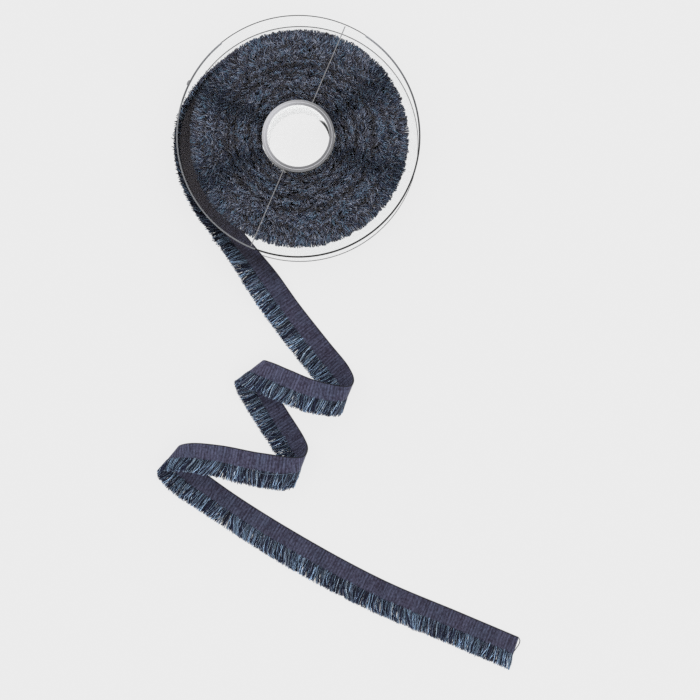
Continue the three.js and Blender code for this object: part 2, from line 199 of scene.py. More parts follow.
# Ways in which painted shade darkens the hub's tube and its bore, and the reach of the bore's painted shade
TUBE_SHADE = math.radians(-32)
BORE_SHADE = (4.338, 0.765, -1.0)
BORE_SHADE_REACH = (73.8 * MM, 82 * MM)

# Ring of the wound fringe's tips: its radius, and how far its middle lies off the axis in x and y, in mm
TIP_RADIUS = 80.1
TIP_OFFSET = (0.5, -1.0)

# Where the wound fringe is brushed out further: by how many mm, at which angle, and how far round
BRUSHED_OUT = 3.4
BRUSHED_ANGLE = math.radians(148)
BRUSHED_REACH = math.radians(13)

# Rings where turns part, with brown yarns and painted shade: how strong each is, and its radius in mm at the
# right, far, left and near side
PARTED_TURNS = [
    (0.7, (29.5, 30.0, 29.0, 30.5)),
    (0.8, (35.0, 36.5, 35.6, 36.0)),
    (0.9, (42.0, 47.5, 47.0, 43.5)),
    (1.0, (54.4, 53.5, 51.8, 53.7)),
    (0.6, (66.0, 59.0, 60.5, 66.8)),
    (0.5, (73.0, 67.0, 69.0, 73.0)),
]

# Navy rays across the roll, in degrees round the reel
NAVY_RAYS = (33, 155, 204, -21)

# Shares of the wound yarns' dyes in the plain roll, its blue patches, its navy rays and its brown rings
WOUND_DYES = ("charcoal", "umber", "ink", "slate", "lavender", "mist", "sea_blue")
PLAIN_SHARES = np.array([0.34, 0.1, 0.1, 0.22, 0.18, 0.06, 0.0])
BLUE_SHARES = np.array([0.16, 0.04, 0.2, 0.14, 0.04, 0.26, 0.16])
NAVY_SHARES = np.array([0.06, 0.02, 0.66, 0.05, 0.0, 0.13, 0.08])
BROWN_SHARES = np.array([0.34, 0.44, 0.08, 0.09, 0.05, 0.0, 0.0])


# Settings

def metres(name, description, default):
    """A setting in metres."""
    return FloatProperty(name=name, description=description, default=default, unit="LENGTH")


def metre_pair(name, description, default):
    """A setting of two lengths in metres."""
    return FloatVectorProperty(name=name, description=description, default=default, size=2, unit="LENGTH")


def slope(name, description, default):
    """A setting that holds an angle."""
    return FloatProperty(name=name, description=description, default=default, subtype="ANGLE")


def amount(name, description, default):
    """A setting without a unit."""
    return FloatProperty(name=name, description=description, default=default)


def whole(name, description, default):
    """A setting that counts."""
    return IntProperty(name=name, description=description, default=default)


def hue(name, description, default):
    """A setting that holds a colour."""
    return FloatVectorProperty(name=name, description=description, default=default, subtype="COLOR")


class ReelSettings(bpy.types.PropertyGroup):
    """Sizes of the clear reel."""

    disc_radius: metres("Disc Radius", "Radius of both clear discs", (BACK_HIGH.x - BACK_LOW.x) / 2)
    disc_thickness: metres("Disc Thickness", "Thickness of each clear disc", 1.2 * MM)
    height: metres("Reel Height", "Height over both discs", 28 * MM)
    back_tube: metre_pair("Back Tube", "Inner and outer radius of the back tube", (24.9 * MM, 26.5 * MM))
    front_tube: metre_pair("Front Tube", "Inner and outer radius of the front tube", (22.7 * MM, 24.5 * MM))
    tube_gap: metres("Tube Gap", "Gap between the end of the back half's tube and the front disc", 0.3 * MM)
    table_gap: metres("Table Gap", "Gap between the end of the front half's tube and the table", 0.5 * MM)
    edge_rounding: metres("Edge Rounding", "Rounding of the moulded edges", 0.3 * MM)
    line_width: metres("Line Width", "Width of the fine moulded line across the front disc", 0.6 * MM)
    line_height: metres("Line Height", "Height of the fine moulded line", 0.2 * MM)
    line_angle: slope("Line Angle", "Direction of the fine moulded line", math.radians(67))


class TrimSettings(bpy.types.PropertyGroup):
    """Sizes of the trim: its woven heading and its cut yarns."""

    trim_width: metres("Trim Width", "Width from the selvedge to the fringe tips", 25.4 * MM)
    heading_width: metres("Heading Width", "Width of the woven heading", 13.6 * MM)
    heading_thickness: metres("Heading Thickness", "Thickness of the woven heading", 1.0 * MM)
    rib_pitch: metres("Rib Pitch", "Distance between the ribs that run across the heading", 2.3 * MM)
    rib_height: metres("Rib Height", "Height of a rib over the weave", 0.1 * MM)
    turn_pitch: metres("Turn Pitch", "Radial distance between two turns on the reel", 1.27 * MM)
    first_turn: metres("First Turn", "Radius of the first turn round the hub", 27.3 * MM)
    yarn_radius: metres("Yarn Radius", "Radius of one cut yarn", 0.28 * MM)
    thread_radius: metres("Thread Radius", "Radius of a thread that has worked loose", 0.3 * MM)
    core_yarns: whole("Core Yarns", "Dark yarns inside the loose fringe for each rib of the heading", 6)
    face_yarns: whole("Face Yarns", "Yarns on the upper face of the loose fringe for each rib", 7)
    under_yarns: whole("Under Yarns", "Yarns on the under face of the loose fringe for each rib", 3)
    wound_yarns: whole("Wound Yarns", "Cut yarns over all the turns on the reel", 33000)


class YarnColours(bpy.types.PropertyGroup):
    """Dyes of the yarns and the weave, and greys of the reel."""

    deep_navy: hue("Deep Navy", "Darkest fringe yarn", (0.013, 0.016, 0.036))
    navy: hue("Navy", "Main fringe yarn", (0.031, 0.039, 0.088))
    steel_blue: hue("Steel Blue", "Light fringe yarn", (0.23, 0.335, 0.475))
    slate: hue("Slate", "Greyer light fringe yarn", (0.17, 0.2, 0.28))
    # Painted light and shade: the lighter brown tone of the heading where it lies inside the reel
    painted_reel_tone: hue("Brown Black", "Heading as seen through the reel", (0.19, 0.168, 0.165))
    charcoal: hue("Charcoal", "Purple-grey wound yarn", (0.073, 0.071, 0.098))
    lavender: hue("Lavender Slate", "Light greyed wound yarn", (0.245, 0.265, 0.33))
    mist: hue("Mist", "Greyed steel blue wound yarn", (0.15, 0.2, 0.285))
    umber: hue("Umber", "Brownish dark wound yarn", (0.058, 0.052, 0.054))
    sea_blue: hue("Sea Blue", "Greenish blue wound yarn", (0.12, 0.2, 0.29))
    ink: hue("Ink", "Dark blue wound yarn", (0.034, 0.047, 0.09))
    pale: hue("Pale Blue", "Palest fringe yarn", (0.42, 0.53, 0.65))
    warp: hue("Heading Warp", "Plum navy ground of the heading", (0.033, 0.029, 0.056))
    weft: hue("Heading Weft", "Slate blue streaks across the heading", (0.09, 0.098, 0.165))
    selvedge: hue("Selvedge", "Near-black cord along the heading's outer edge", (0.008, 0.008, 0.014))
    clear: hue("Clear Plastic", "Tint of the clear discs", (0.995, 0.998, 0.998))
    # Rim and tube greys: partly the plastic's depth, partly painted reflection, light and shade
    clear_edge: hue("Clear Edge", "Grey that the rims of the clear discs gather", (0.035, 0.036, 0.038))
    clear_tube: hue("Clear Tube", "Grey that the hub's tubes gather along their depth", (0.36, 0.36, 0.375))
    clear_line: hue("Clear Line", "Grey of the fine moulded line and the nib", (0.34, 0.34, 0.35))


class StageSettings(bpy.types.PropertyGroup):
    """Table, light and camera."""

    table_radius: metres("Table Radius", "Radius of the pale table", 6.0)
    floor_colour: hue("Floor Colour", "Pale grey of the table", (0.07, 0.07, 0.07))
    floor_glow: amount("Floor Glow", "Light that the table gives by itself, as a lit table does", 0.775)
    sky_strength: amount("Sky Strength", "Strength of the soft ring of light round the table", 1.1)
    camera_offset: FloatVectorProperty(
        name="Camera Offset",
        description="Place of the camera from the reel's axis at table height",
        default=(37.7 * MM, -187.88 * MM, 895.95 * MM),
        subtype="XYZ",
        unit="LENGTH",
    )
    camera_tilt: slope("Camera Tilt", "Tilt of the camera from straight down", math.radians(2.093))
    camera_lens: amount("Camera Lens", "Focal length in millimetres on a 36 mm wide sensor", 61.714)


class FringeTrimSettings(bpy.types.PropertyGroup):
    """All the settings of the trim."""

    reel: PointerProperty(type=ReelSettings)
    trim: PointerProperty(type=TrimSettings)
    colours: PointerProperty(type=YarnColours)
    stage: PointerProperty(type=StageSettings)


# Shapes

def polar(radius, angle, height):
    """Points about the reel's axis from radius, angle and height."""
    radius, angle, height = np.broadcast_arrays(radius, angle, height)
    return AXIS + np.stack([radius * np.cos(angle), radius * np.sin(angle), height], axis=-1)


def unit(vectors):
    return vectors / np.linalg.norm(vectors, axis=-1, keepdims=True)


def eased(share):
    share = np.clip(share, 0, 1)
    return share * share * (3 - 2 * share)


def eased_between(values, span):
    return eased((values - span[0]) / (span[1] - span[0]))


def bell(apart, width):
    """1 where nothing lies apart, and less and less further off."""
    return np.exp(-((apart / width) ** 2))


def run_lengths(points):
    """Length along a line of points, from 0 at the first."""
    return np.concatenate([[0], np.cumsum(np.linalg.norm(np.diff(points, axis=0), axis=1))])


def sampled(places, known_places, known_rows):
    """Rows interpolated at places, for an array of any shape."""
    columns = [np.interp(places, known_places, column) for column in known_rows.T]
    return np.stack(columns, axis=-1)


def smooth_noise(random, count, reach):
    """A series of about unit spread that changes slowly, over about reach items."""
    white = random.normal(size=count + 4 * reach)
    kernel = np.hanning(2 * reach + 3)
    series = np.convolve(white, kernel / np.sqrt((kernel**2).sum()), mode="same")
    return series[2 * reach:2 * reach + count]


def patches(seed, places, reach):
    """A field over the table's plane of about unit spread, in patches about five times the reach across."""
    wave_count = 48
    random = np.random.default_rng(seed)
    waves = random.normal(size=(2, wave_count)) / reach
    phases = random.uniform(0, FULL_TURN, wave_count)
    return np.cos(places[:, :2] @ waves + phases).sum(axis=1) / math.sqrt(wave_count / 2)


def spline_through(points, steps):
    """Centripetal Catmull-Rom curve through the points, with equal steps from each to the next."""
    ends = np.vstack([2 * points[0] - points[1], points, 2 * points[-1] - points[-2]])
    gaps = np.sqrt(np.linalg.norm(np.diff(ends, axis=0), axis=1))[:, None]
    before, here, there, after = ends[:-3], ends[1:-2], ends[2:-1], ends[3:]
    first, middle, last = gaps[:-2], gaps[1:-1], gaps[2:]
    leaving = (here - before) / first - (there - before) / (first + middle) + (there - here) / middle
    arriving = (there - here) / middle - (after - here) / (middle + last) + (after - there) / last
    share = (np.arange(steps) / steps)[:, None, None]
    curve = (
        (2 * share**3 - 3 * share**2 + 1) * here
        + (share**3 - 2 * share**2 + share) * middle * leaving
        + (3 * share**2 - 2 * share**3) * there
        + (share**3 - share**2) * middle * arriving
    )
    return np.vstack([curve.transpose(1, 0, 2).reshape(-1, 3), points[-1:]])


def row_sags(count):
    """How far the roots sag at each step of the strip, smoothed over a row to each side."""
    rows = [ROOT_SAGS.get(name, 0.0) * MM for name in ROW_NAMES]
    sag = np.interp(np.arange(count) / ROW_STEPS, np.arange(len(rows)), rows)
    window = np.hanning(2 * ROW_STEPS + 1) / ROW_STEPS
    return np.convolve(np.pad(sag, ROW_STEPS, mode="edge"), window, mode="valid")


def loose_strip(trim):
    """The loose end as a strip from selvedge by fringe roots to tips, measured along the roots."""
    selvedges = [polar(low[0] * MM, math.radians(angle), low[1] * MM) for _, angle, low, _ in WRAP_ROWS]
    tips = [polar(high[0] * MM, math.radians(angle), high[1] * MM) for _, angle, _, high in WRAP_ROWS]
    selvedges += [AXIS + MM * np.array(selvedge) for _, selvedge, _ in LAID_ROWS]
    tips += [AXIS + MM * np.array(tip) for _, _, tip in LAID_ROWS]
    lying = trim.heading_thickness / 2 + trim.rib_height
    selvedge, tip = (spline_through(np.array(rows), ROW_STEPS) for rows in (selvedges, tips))
    for edge in (selvedge, tip):
        edge[:, 2] = np.maximum(edge[:, 2], lying)
    root_share = trim.heading_width / trim.trim_width
    root = selvedge + root_share * (tip - selvedge)
    inwards = unit(np.cross(tip - selvedge, np.gradient(root, axis=0)))
    root = root - row_sags(len(root))[:, None] * inwards
    along = np.gradient(root, axis=0)
    return SimpleNamespace(
        selvedge=selvedge,
        root=root,
        tip=tip,
        heading_normal=unit(np.cross(root - selvedge, along)),
        fringe_normal=unit(np.cross(tip - root, along)),
        length=run_lengths(root),
        root_share=root_share,
    )


def strip_length_at(strip, row_name):
    return strip.length[ROW_NAMES.index(row_name) * ROW_STEPS]


def strip_points(strip, lengths, across):
    """Points of the strip's middle layer, across from the selvedge at 0 to the fringe tips at 1."""
    lines = (strip.selvedge, strip.root, strip.tip)
    selvedge, root, tip = (sampled(lengths, strip.length, line) for line in lines)
    across = np.asarray(across)[..., None]
    heading = selvedge + across / strip.root_share * (root - selvedge)
    fringe = root + (across - strip.root_share) / (1 - strip.root_share) * (tip - root)
    return np.where(across < strip.root_share, heading, fringe)


def shaded_share(strip, lengths):
    """How much the loose end is seen through the reel, and takes painted light and shade there: full round
    the roll, none on the table.
    """
    return 1 - eased_between(lengths, (strip_length_at(strip, "wrap_4"), strip_length_at(strip, "down")))


def reel_shadow(points):
    """How much light reaches the trim beside the reel: least just outside the discs."""
    out = np.linalg.norm(points[..., :2] - AXIS[:2], axis=-1)
    return 1 - SHADOW_STRENGTH * eased_between(out, SHADOW_COMES) * (1 - eased_between(out, SHADOW_GOES))


def wound_turns(trim):
    """The turns on the reel: a spiral that ends where the loose end starts, and leans out there."""
    _, end_angle, end_low, end_high = WRAP_ROWS[0]
    end_radius = end_low[0] * MM
    turns = (end_radius - trim.first_turn) / trim.turn_pitch
    fine = trim.rib_pitch / RIB_STEPS / end_radius
    coarse = math.radians(10)
    joining_turn = math.radians(70)
    heading_low = 1.85 * MM
    unevenness = 0.25
    knots = 160
    back = np.concatenate([
        np.arange(0, FULL_TURN, fine),
        np.arange(FULL_TURN, FULL_TURN * turns, coarse),
    ])[::-1]
    angle = math.radians(end_angle) - back
    radius = end_radius - trim.turn_pitch * back / FULL_TURN
    lifts = np.random.default_rng(11).uniform(-unevenness, unevenness, knots)
    lifts = np.interp(back, np.linspace(0, back.max(), knots), lifts) * MM
    joining = 1 - eased(back / joining_turn)
    low = (heading_low + lifts) * (1 - joining) + end_low[1] * MM * joining
    lean = joining * math.atan2(end_high[0] - end_low[0], end_high[1] - end_low[1])
    top_radius = radius + trim.heading_width * np.sin(lean)
    height = low + trim.heading_width * np.cos(lean)
    selvedge = polar(radius, angle, low)
    edge = polar(top_radius, angle, height)
    return SimpleNamespace(
        selvedge=selvedge,
        edge=edge,
        normal=unit(np.cross(edge - selvedge, np.gradient(edge, axis=0))),
        length=run_lengths(selvedge),
        angle=angle,
        turn_radius=radius,
        radius=top_radius,
        height=height,
        ribbed=1 - eased_between(back, (0.9 * FULL_TURN, FULL_TURN)),
    )


# Meshes

def mesh_piece(name, points, faces_by_size, materials):
    """A new smooth-shaded object from points and arrays of faces with the same number of corners."""
    mesh = bpy.data.meshes.new(name)
    corners = np.concatenate([faces.ravel() for faces in faces_by_size])
    sizes = np.concatenate([np.full(len(faces), faces.shape[1]) for faces in faces_by_size])
    mesh.vertices.add(len(points))
    mesh.vertices.foreach_set("co", points.astype(np.float32).ravel())
    mesh.loops.add(len(corners))
    mesh.loops.foreach_set("vertex_index", corners.astype(np.int32))
    mesh.polygons.add(len(sizes))
    mesh.polygons.foreach_set("loop_start", (np.cumsum(sizes) - sizes).astype(np.int32))
    mesh.polygons.foreach_set("use_smooth", np.ones(len(sizes), bool))
    mesh.update(calc_edges=True)
    for material in materials:
        mesh.materials.append(material)
    piece = bpy.data.objects.new(name, mesh)
    bpy.context.collection.objects.link(piece)
    return piece


def add_map(piece, places):
    """A map from a place for each corner of each face."""
    layer = piece.data.uv_layers.new(name="UVMap")
    layer.data.foreach_set("uv", places.astype(np.float32).ravel())


def settle_placing():
    """Moves the active object's place, turn and scale into its mesh."""
    bpy.ops.object.transform_apply(location=True, rotation=True, scale=True)


def seat_piece(piece, slot, *nodes):
    """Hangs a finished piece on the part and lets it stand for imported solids."""
    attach(piece, "root")
    if nodes:
        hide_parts(*nodes)
    return piece


def woven_band(name, selvedge, edge, normal, lengths, ribbed, shaded, trim, material):
    """A closed band with rounded edges, ribs across it, and a map of its length and width in metres."""
    across = np.array([0.0, 0.025, 0.07, 0.19, 0.32, 0.45, 0.58, 0.71, 0.84, 0.96, 1.0])
    fullness = np.array([0.3, 0.85, 1.0, 0.9, 0.9, 0.9, 0.9, 0.9, 0.9, 0.9, 0.35])
    skew = ((edge - selvedge) * unit(np.gradient(selvedge + edge, axis=0))).sum(axis=1)
    square_lengths = np.maximum(lengths[:, None] + (across - 0.5) * skew[:, None], 0)
    rib_place = square_lengths / trim.rib_pitch
    rib_number = np.floor(rib_place).astype(int)
    rib_sizes = np.random.default_rng(5).uniform(0.6, 1.0, rib_number.max() + 1)
    rib_sizes[1::2] *= 0.7
    rib = np.abs(np.sin(np.pi * rib_place)) ** 0.7 * rib_sizes[rib_number] * ribbed[:, None]
    body = 1 - np.abs(2 * across - 1) ** 6
    half = trim.heading_thickness / 2 * fullness + trim.rib_height * rib * body
    middle = selvedge[:, None] + across[None, :, None] * (edge - selvedge)[:, None]
    upper = middle + half[..., None] * normal[:, None]
    lower = (middle - half[..., None] * normal[:, None])[:, ::-1]
    ring = np.concatenate([upper, lower], axis=1)
    stations, around = ring.shape[:2]
    grid = np.arange(stations * around).reshape(stations, around)
    here, there = grid[:-1], grid[1:]
    sides = np.stack([here, there, np.roll(there, -1, 1), np.roll(here, -1, 1)], axis=-1).reshape(-1, 4)
    caps = np.stack([grid[0], grid[-1][::-1]])
    piece = mesh_piece(name, ring.reshape(-1, 3), [sides, caps], [material])
    width = np.concatenate([across, across[::-1]]) * trim.heading_width
    both_faces = np.concatenate([square_lengths, square_lengths[:, ::-1]], axis=1)
    places = np.stack(np.broadcast_arrays(both_faces, width[None]), axis=-1).reshape(-1, 2)
    add_map(piece, places[np.concatenate([sides.ravel(), caps.ravel()])])
    series = {
        "reverse_face": np.tile(np.repeat([0.0, 1.0], len(across)), stations),
        "shaded": np.repeat(shaded, around),
        "reel_shadow": reel_shadow(ring).ravel(),
    }
    for key, values in series.items():
        attribute = piece.data.attributes.new(key, "FLOAT", "POINT")
        attribute.data.foreach_set("value", values.astype(np.float32))
    return piece


def yarn_mesh(name, centres, radii, tints, random, material):
    """Thin three-sided yarns joined as one mesh: centres and tints run yarn by yarn, ring by ring."""
    count, rings = centres.shape[:2]
    along = unit(np.gradient(centres, axis=1))
    aim = unit(random.normal(size=(count, 1, 3)))
    side = unit(aim - (aim * along).sum(-1, keepdims=True) * along)
    above = np.cross(along, side)
    turn = np.arange(YARN_SIDES) * FULL_TURN / YARN_SIDES
    spokes = np.cos(turn)[:, None] * side[:, :, None] + np.sin(turn)[:, None] * above[:, :, None]
    points = centres[:, :, None] + radii[:, :, None, None] * spokes
    grid = np.arange(count * rings * YARN_SIDES).reshape(count, rings, YARN_SIDES)
    here, there = grid[:, :-1], grid[:, 1:]
    sides = np.stack([here, np.roll(here, -1, 2), np.roll(there, -1, 2), there], axis=-1).reshape(-1, 4)
    caps = np.concatenate([grid[:, 0, ::-1], grid[:, -1]])
    piece = mesh_piece(name, points.reshape(-1, 3), [sides, caps], [material])
    colour = piece.data.color_attributes.new("yarn_tint", "FLOAT_COLOR", "POINT")
    shades = np.repeat(tints, YARN_SIDES, axis=1).reshape(-1, 3)
    shades = np.concatenate([shades, np.ones((grid.size, 1))], axis=1)
    colour.data.foreach_set("color", shades.astype(np.float32).ravel())
    add_twist_map(piece, centres, sides, caps)
    return piece


def add_twist_map(piece, centres, sides, caps):
    """A map with the way round each yarn as u and its length in metres as v, for the ply's twist."""
    steps = np.linalg.norm(np.diff(centres, axis=1), axis=2)
    height = np.concatenate([np.zeros((len(centres), 1)), np.cumsum(steps, axis=1)], axis=1)
    height = np.repeat(height[:, :, None], YARN_SIDES, axis=2).ravel()
    corner_turn = np.tile([[0, 1, 1, 0]], (len(sides), 1)) + (sides[:, :1] % YARN_SIDES)
    across = np.concatenate([corner_turn.ravel(), caps.ravel() % YARN_SIDES]) / YARN_SIDES
    along = height[np.concatenate([sides.ravel(), caps.ravel()])]
    add_map(piece, np.stack([across, along], axis=-1))


def picked_tints(random, count, palette, shares):
    """A tint for each yarn, drawn from a palette by shares that may differ from yarn to yarn."""
    shares = np.broadcast_to(shares, (count, len(palette)))
    bounds = np.cumsum(shares / shares.sum(axis=1, keepdims=True), axis=1)
    choice = (random.random((count, 1)) > bounds[:, :-1]).sum(axis=1)
    jitter = np.exp(random.normal(0, 0.16, (count, 1)))
    return np.array(palette)[choice] * jitter


# Materials

class NodeTools:
    """Short ways to add nodes to a tree. Each gives what the new node puts out."""

    def __init__(self, tree):
        self.tree = tree

    def add(self, kind, inputs=None, **settings):
        node = self.tree.nodes.new(f"ShaderNode{kind}")
        for key, value in settings.items():
            setattr(node, key, value)
        for key, value in (inputs or {}).items():
            if isinstance(value, bpy.types.NodeSocket):
                self.tree.links.new(value, node.inputs[key])
            else:
                node.inputs[key].default_value = value
        return node.outputs

    def math(self, operation, *values):
        return self.add("Math", dict(enumerate(values)), operation=operation)["Value"]

    def noise(self, place, scale, detail=2.0, roughness=0.5):
        inputs = {"Vector": place, "Scale": scale, "Detail": detail, "Roughness": roughness}
        return self.add("TexNoise", inputs)["Fac"]

    def spread(self, value, start, end, low=0.0, high=1.0, **settings):
        inputs = {"Value": value, "From Min": start, "From Max": end, "To Min": low, "To Max": high}
        return self.add("MapRange", inputs, **settings)["Result"]

    def mapped(self, place, scale):
        return self.add("Mapping", {"Vector": place, "Scale": scale})["Vector"]

    def mixed(self, share, first, second):
        return self.add("Mix", {"Factor": share, "A": first, "B": second}, data_type="RGBA")["Result"]

    def scaled(self, colour, share):
        return self.add("VectorMath", {0: colour, "Scale": share}, operation="SCALE")["Vector"]

    def attribute(self, name):
        return self.add("Attribute", attribute_name=name)["Fac"]

    def bump(self, height, strength, distance):
        return self.add("Bump", {"Height": height, "Strength": strength, "Distance": distance})["Normal"]

    def principled(self, inputs):
        return self.add("BsdfPrincipled", inputs)["BSDF"]


def new_material(name):
    """A material with an empty node tree, and the tools to fill it."""
    material = bpy.data.materials.new(name)
    material.use_nodes = True
    material.node_tree.nodes.clear()
    return material, NodeTools(material.node_tree)


def surfaced(material, tools, surface):
    """The material with its surface joined to the output."""
    tools.add("OutputMaterial", {"Surface": surface})
    return material


def opaque(colour):
    return (*colour, 1.0)


def clear_plastic_material(colours):
    """Clear moulded plastic that lets soft light pass straight on to the cloth inside."""
    material, tools = new_material("clear_disc")
    haze = tools.noise(tools.add("TexCoord")["Object"], 60.0, 3.0)
    plastic = tools.principled({
        "Base Color": opaque(colours.clear),
        "Roughness": tools.spread(haze, 0, 1, 0.01, 0.05),
        "IOR": 1.18,
        "Transmission Weight": 1.0,
    })
    straight = tools.add("BsdfTransparent")["BSDF"]
    rays = tools.add("LightPath")
    passes = tools.math("MAXIMUM", rays["Is Shadow Ray"], rays["Is Diffuse Ray"])
    both = tools.add("MixShader", {"Fac": passes, 1: plastic, 2: straight})["Shader"]
    return surfaced(material, tools, both)


def clear_edge_material(name, colour, way, reach, clearness=0.0, gloss=1.3):
    """Clear plastic seen along its depth, grey from its first tone to its last over a reach along a way,
    which paints reflection, light and shade on rims, tube and bore.
    """
    material, tools = new_material(name)
    first, last = GREY_TONES[name]
    place = tools.add("TexCoord")["Object"]
    side = tools.add("VectorMath", {0: place, 1: way}, operation="DOT_PRODUCT")["Value"]
    middle = float(np.dot(AXIS, way))
    share = tools.spread(side, middle + reach[0], middle + reach[1])
    tone = tools.math("POWER", last / first, share)
    wear = tools.noise(place, 25.0)
    edge = tools.principled({
        "Base Color": tools.scaled(tuple(first * channel for channel in colour), tone),
        "Roughness": tools.spread(wear, 0, 1, 0.12, 0.3),
        "IOR": gloss,
        "Transmission Weight": clearness,
    })
    return surfaced(material, tools, edge)


def woven_heading_material(colours, trim):
    """Ribbed slate-navy weave with uneven blue picks, a near-black selvedge and a paler reverse, mixed
    towards a brown tone as painted light and shade inside the reel, and darkened by the discs' painted
    shadow beside them.
    """
    material, tools = new_material("ribbed_weave")
    band = tools.add("UVMap", uv_map="UVMap")["UV"]
    place = tools.add("SeparateXYZ", {"Vector": band})
    picks = tools.noise(tools.mapped(band, (720.0, 110.0, 1.0)), 1.0, 2.0, 0.65)
    floats = tools.noise(tools.mapped(band, (720.0, 520.0, 1.0)), 1.0, 1.0)
    grain = tools.noise(band, 1800.0)
    drift = tools.noise(band, 55.0)
    even_ribs = tools.math("MULTIPLY", place["X"], 1 / trim.rib_pitch)
    ribs = tools.math("MULTIPLY_ADD", drift, 0.6, even_ribs)
    rib_tone = tools.add("TexWhiteNoise", {"W": tools.math("FLOOR", ribs)}, noise_dimensions="1D")["Value"]
    rib_wave = tools.math("SINE", tools.math("MULTIPLY", ribs, math.pi))
    streak = tools.math("MULTIPLY_ADD", rib_tone, 0.14, picks)
    broken = tools.math("MULTIPLY_ADD", floats, 0.9, streak)
    streaked = tools.mixed(tools.spread(broken, 0.82, 1.21), opaque(colours.warp), opaque(colours.weft))
    cast = tools.mixed(tools.spread(drift, 0.35, 0.65), (1.05, 0.98, 0.99, 1.0), (0.96, 1.02, 1.02, 1.0))
    ground = tools.add("VectorMath", {0: streaked, 1: cast}, operation="MULTIPLY")["Vector"]
    ribs_and_grain = tools.math("MULTIPLY_ADD", tools.math("ABSOLUTE", rib_wave), 0.9, grain)
    face_tone = tools.spread(tools.attribute("reverse_face"), 0, 1, 0.95, 1.15)
    # Painted shade in the grooves between ribs, mottled by the grain, with a paler reverse face
    tone = tools.math("MULTIPLY", tools.spread(ribs_and_grain, 0.5, 1.5, 0.6, 1.3), face_tone)
    # Painted light and shade where the heading lies inside the reel: a mix towards a lighter brown
    painted_reel_share = tools.math("MULTIPLY", tools.attribute("shaded"), 0.65)
    reel_painted_weave = tools.mixed(painted_reel_share, tools.scaled(ground, tone), opaque(colours.painted_reel_tone))
    shadowed = tools.scaled(reel_painted_weave, tools.attribute("reel_shadow"))
    cord = tools.spread(place["Y"], 0.4 * MM, 1.0 * MM, 1.0, 0.0, interpolation_type="SMOOTHSTEP")
    cloth = tools.principled({
        "Base Color": tools.mixed(cord, shadowed, opaque(colours.selvedge)),
        "Roughness": 0.8,
        "Specular IOR Level": 0.25,
        "Sheen Weight": 0.12,
        "Sheen Roughness": 0.5,
        "Normal": tools.bump(ribs_and_grain, 0.5, 0.15 * MM),
    })
    return surfaced(material, tools, cloth)


def yarn_material(name):
    """Soft plied yarn: the tint of each yarn, mottled, with the twist of its ply."""
    material, tools = new_material(name)
    tint = tools.add("VertexColor", layer_name="yarn_tint")["Color"]
    mottle = tools.noise(tools.add("TexCoord")["Object"], 900.0)
    turn = tools.add("UVMap", uv_map="UVMap")["UV"]
    ply = tools.add("SeparateXYZ", {"Vector": tools.mapped(turn, (2.0, 900.0, 1.0))})
    winding = tools.math("MULTIPLY", tools.math("ADD", ply["X"], ply["Y"]), FULL_TURN)
    yarn = tools.principled({
        "Base Color": tools.scaled(tint, tools.spread(mottle, 0.3, 0.7, 0.75, 1.25)),
        "Roughness": 0.7,
        "Specular IOR Level": 0.3,
        "Sheen Weight": 0.04,
        "Sheen Roughness": 0.4,
        "Normal": tools.bump(tools.math("SINE", winding), 0.4, 0.08 * MM),
    })
    return surfaced(material, tools, yarn)


def floor_material(stage):
    """Plain pale table top."""
    material, tools = new_material("pale_table")
    floor = tools.principled({
        "Base Color": opaque(stage.floor_colour),
        "Roughness": 0.9,
        "Specular IOR Level": 0.0,
        "Emission Color": (1.0, 1.0, 1.0, 1.0),
        "Emission Strength": stage.floor_glow,
    })
    return surfaced(material, tools, floor)


def shared_material(name, make, *arguments):
    """The material of this name, made on its first use."""
    return bpy.data.materials.get(name) or make(*arguments)


# Operators

class FRINGE_OT_stage(bpy.types.Operator):
    """Lay the pale table, light it softly from all round and set the camera above it"""

    bl_idname = "fringe.stage"
    bl_label = "Table, Light and Camera"

    def execute(self, context):
        stage = context.scene.fringe_trim.stage
        self.lay_table(stage)
        self.light_sky(context.scene, stage)
        self.set_camera(context.scene, stage)
        return {"FINISHED"}

    def lay_table(self, stage):
        bpy.ops.mesh.primitive_circle_add(vertices=96, radius=stage.table_radius, fill_type="NGON")
        table = bpy.context.object
        table.name = "table"
        table.data.materials.append(floor_material(stage))

    def light_sky(self, scene, stage):
        world = bpy.data.worlds.new("soft_ring")
        scene.world = world
        world.use_nodes = True
        tools = NodeTools(world.node_tree)
        direction = tools.add("SeparateXYZ", {"Vector": tools.add("TexCoord")["Generated"]})
        light = tools.add("ValToRGB", {"Fac": direction["Z"]})["Color"]
        ramp = light.node.color_ramp
        ramp.interpolation = "EASE"
        levels = ((0.0, 0.95), (0.78, 1.0), (0.9, 0.25), (1.0, 0.22))
        for index, (place, level) in enumerate(levels):
            stop = ramp.elements[index] if index < 2 else ramp.elements.new(place)
            stop.position = place
            stop.color = (level, level, level, 1.0)
        background = world.node_tree.nodes["Background"].inputs
        world.node_tree.links.new(light, background["Color"])
        background["Strength"].default_value = stage.sky_strength
        scene.view_settings.view_transform = "Standard"
        scene.cycles.use_denoising = False

    def set_camera(self, scene, stage):
        data = bpy.data.cameras.new("camera")
        data.sensor_width = 36.0
        data.lens = stage.camera_lens
        camera = bpy.data.objects.new("camera", data)
        scene.collection.objects.link(camera)
        camera.location = AXIS + np.array(stage.camera_offset)
        camera.rotation_euler = (stage.camera_tilt, 0.0, 0.0)
        scene.camera = camera


